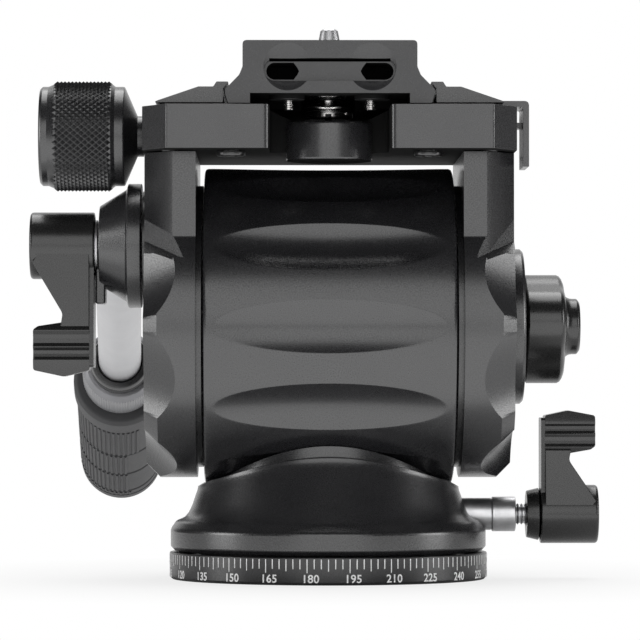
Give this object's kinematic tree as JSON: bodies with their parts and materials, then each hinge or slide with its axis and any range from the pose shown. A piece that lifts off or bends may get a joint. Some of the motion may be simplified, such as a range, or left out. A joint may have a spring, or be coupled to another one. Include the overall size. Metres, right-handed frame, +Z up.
{
  "type": "fluid video head",
  "caption": "Compact fluid video head with a fluted tilt drum, a pan base with a degree ring, a dovetail quick plate and a telescoping pan handle.",
  "frame": {"origin": "centre of the base's underside, on the pan axis, where the tripod's stud enters", "axes": "+Z up along the pan axis, +X along the tilt axis towards the tilt lock knob, +Y the way the pan handle points"},
  "size_m": [0.1061, 0.2307, 0.1016],
  "materials": {
    "anodised": "satin black anodised aluminium, fine bead-blast grain",
    "dark_metal": "black anodised aluminium, slightly glossier",
    "steel": "turned stainless steel",
    "silver": "clear anodised aluminium",
    "rubber": "moulded dark grey rubber",
    "bronze": "sintered bronze",
    "nylon": "greased nylon",
    "plastic": "black moulded plastic"
  },
  "bodies": {
    "base": {"base_plate": "dark_metal", "graduated_ring": "anodised", "thread_bush": "steel", "pan_spindle": "steel", "pan_nut": "steel", "pan_bearing": "bronze", "pan_damper_ring": "nylon", "pan_seal": "rubber"},
    "pan_body": {"pan_housing": "anodised", "pan_lock_sleeve": "silver", "drum_shell": "anodised", "drum_cap_right": "dark_metal", "drum_cap_left": "dark_metal", "tilt_bearing_right": "bronze", "tilt_bearing_left": "bronze", "tilt_stator": "nylon", "drum_bolt_front": "steel", "drum_bolt_back": "steel"},
    "pan_lock": {"pan_lock_lever": "anodised", "pan_lock_collar": "dark_metal", "pan_lock_stud": "steel"},
    "tilt_cage": {"cheek_right": "anodised", "cheek_left": "anodised", "deck": "anodised", "tilt_shaft": "steel", "tilt_rotor": "nylon", "tilt_washer_right": "nylon", "tilt_washer_left": "nylon", "handle_rosette": "steel", "side_disc": "anodised", "deck_screw_front_right": "steel", "deck_screw_back_right": "steel", "deck_screw_front_left": "steel", "deck_screw_back_left": "steel", "under_screw_right": "dark_metal", "under_screw_left": "dark_metal", "fixed_jaw": "anodised", "guide_pin_front": "steel", "guide_pin_back": "steel", "tab_pin": "steel"},
    "moving_jaw": {"moving_jaw": "anodised"},
    "clamp_knob": {"clamp_knob": "dark_metal", "clamp_spindle": "steel"},
    "release_tab": {"release_tab": "anodised"},
    "quick_plate": {"quick_plate": "anodised", "plate_stop_right": "steel", "plate_stop_left": "steel", "pin_spring": "steel"},
    "alignment_pin": {"alignment_pin": "steel"},
    "camera_screw": {"camera_screw": "steel"},
    "tilt_lock": {"tilt_lock_knob": "dark_metal", "tilt_lock_screw": "dark_metal"},
    "handle": {"handle_hub": "anodised", "handle_tube": "silver"},
    "handle_lock": {"handle_lock_lever": "anodised", "handle_lock_screw": "steel"},
    "grip": {"grip_core": "plastic", "grip_rubber": "rubber", "grip_end_cap": "rubber"},
    "twist_collar": {"twist_collar": "silver"}
  },
  "joints": [
    {"name": "pan", "type": "hinge", "parent": "base", "child": "pan_body", "pos_m": [0, 0, 0], "axis": [0, 0, 1], "continuous": true},
    {"name": "tilt", "type": "hinge", "parent": "pan_body", "child": "tilt_cage", "pos_m": [0, 0, 0.0471], "axis": [1, 0, 0], "range_deg": [-75, 90]},
    {"name": "pan_lock_turn", "type": "hinge", "parent": "pan_body", "child": "pan_lock", "pos_m": [0.045, 0, 0.012], "axis": [1, 0, 0], "range_deg": [-75, 75]},
    {"name": "tilt_lock_turn", "type": "hinge", "parent": "tilt_cage", "child": "tilt_lock", "pos_m": [0.04, 0, 0.0471], "axis": [1, 0, 0], "range_deg": [-90, 90]},
    {"name": "clamp_turn", "type": "hinge", "parent": "tilt_cage", "child": "clamp_knob", "pos_m": [-0.04, 0, 0.0827], "axis": [-1, 0, 0], "range_deg": [0, 1080]},
    {"name": "jaw_slide", "type": "slide", "parent": "tilt_cage", "child": "moving_jaw", "axis": [-1, 0, 0], "range_m": [0, 0.0024]},
    {"name": "plate_slide", "type": "slide", "parent": "tilt_cage", "child": "quick_plate", "axis": [0, 1, 0], "range_m": [-0.015, 0.015]},
    {"name": "pin_press", "type": "slide", "parent": "quick_plate", "child": "alignment_pin", "axis": [0, 0, -1], "range_m": [0, 0.0024], "stiffness_N_per_m": 300, "springref_m": -0.001, "deforming": ["pin_spring"]},
    {"name": "camera_screw_turn", "type": "hinge", "parent": "quick_plate", "child": "camera_screw", "pos_m": [0, 0.002, 0.09], "axis": [0, 0, 1], "continuous": true},
    {"name": "tab_press", "type": "hinge", "parent": "tilt_cage", "child": "release_tab", "pos_m": [0.0328, -0.01, 0.084], "axis": [0, 1, 0], "range_deg": [0, 6], "stiffness_Nm_per_rad": 0.05, "springref_deg": -5.73},
    {"name": "handle_pivot", "type": "hinge", "parent": "tilt_cage", "child": "handle", "pos_m": [-0.0394, 0, 0.0622], "axis": [1, 0, 0], "range_deg": [-70, 50]},
    {"name": "handle_lock_turn", "type": "hinge", "parent": "handle", "child": "handle_lock", "pos_m": [-0.045, 0, 0.0622], "axis": [1, 0, 0], "range_deg": [-60, 20]},
    {"name": "grip_slide", "type": "slide", "parent": "handle", "child": "grip", "axis": [-0.034, 0.9757, -0.2163], "range_m": [-0.045, 0]},
    {"name": "collar_twist", "type": "hinge", "parent": "grip", "child": "twist_collar", "pos_m": [-0.04297, 0.10245, 0.03949], "axis": [-0.034, 0.9757, -0.2163], "range_deg": [0, 90]}
  ],
  "couplings": [
    {"joint": "jaw_slide", "follows": "clamp_turn", "m_per_rad": 0.000127}
  ]
}
